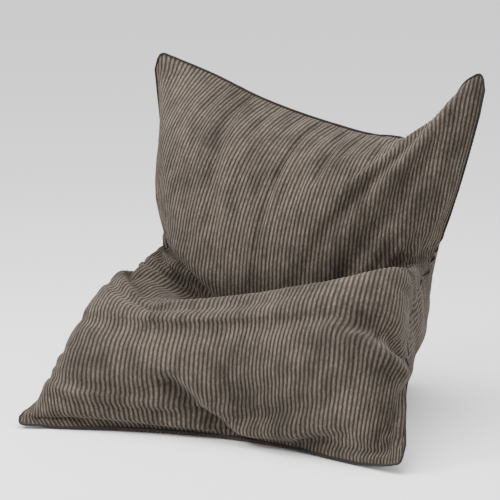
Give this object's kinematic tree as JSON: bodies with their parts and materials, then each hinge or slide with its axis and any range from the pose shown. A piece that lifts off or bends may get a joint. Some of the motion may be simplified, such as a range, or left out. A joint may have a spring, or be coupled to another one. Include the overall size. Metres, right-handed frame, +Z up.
{
  "type": "bean bag chair",
  "caption": "Floor-standing bean bag chair: two piped cord panels bent into a seat with a high two-eared back, liner and bead filling inside.",
  "frame": {"origin": "middle of the footprint's box, on the floor", "axes": "+Z up, -Y to the front of the seat, +X to the right when the chair is seen from the front"},
  "size_m": [1.2584, 1.051, 1.0569],
  "materials": {
    "cord_cloth": "wide-wale cotton cord, taupe, brushed pile",
    "piping_cloth": "dark woven bias tape, matt",
    "piping_core": "twisted cotton cord",
    "zip_tape": "woven polyester tape, matt",
    "zip_coil": "nylon coil, satin",
    "zip_metal": "zinc die casting, dark lacquer",
    "liner_cloth": "plain-woven polyester, off-white",
    "liner_zip_tape": "woven polyester tape, off-white",
    "liner_zip_coil": "nylon coil, off-white",
    "label": "blank satin label",
    "beads": "expanded polystyrene beads, matt white"
  },
  "bodies": {
    "root": {"front_panel": "cord_cloth", "back_panel_upper": "cord_cloth", "back_panel_lower": "cord_cloth", "piping_sleeve": "piping_cloth", "piping_cord": "piping_core", "zip_tape_upper": "zip_tape", "zip_tape_lower": "zip_tape", "zip_coil_upper": "zip_coil", "zip_coil_lower": "zip_coil", "zip_stop_left": "zip_metal", "zip_stop_right": "zip_metal", "care_label": "label", "liner_front": "liner_cloth", "liner_back_upper": "liner_cloth", "liner_back_lower": "liner_cloth", "liner_zip_tape_upper": "liner_zip_tape", "liner_zip_tape_lower": "liner_zip_tape", "liner_zip_coil_upper": "liner_zip_coil", "liner_zip_coil_lower": "liner_zip_coil", "liner_zip_stop_left": "zip_metal", "liner_zip_stop_right": "zip_metal", "bead_fill": "beads"},
    "zip_slider": {"zip_slider": "zip_metal"},
    "liner_zip_slider": {"liner_zip_slider": "zip_metal"}
  },
  "joints": [
    {"name": "zip_slide", "type": "slide", "parent": "root", "child": "zip_slider", "axis": [1, 0, 0], "range_m": [-0.4, 0]},
    {"name": "liner_zip_slide", "type": "slide", "parent": "root", "child": "liner_zip_slider", "axis": [1, 0, 0], "range_m": [0, 0.4]}
  ]
}
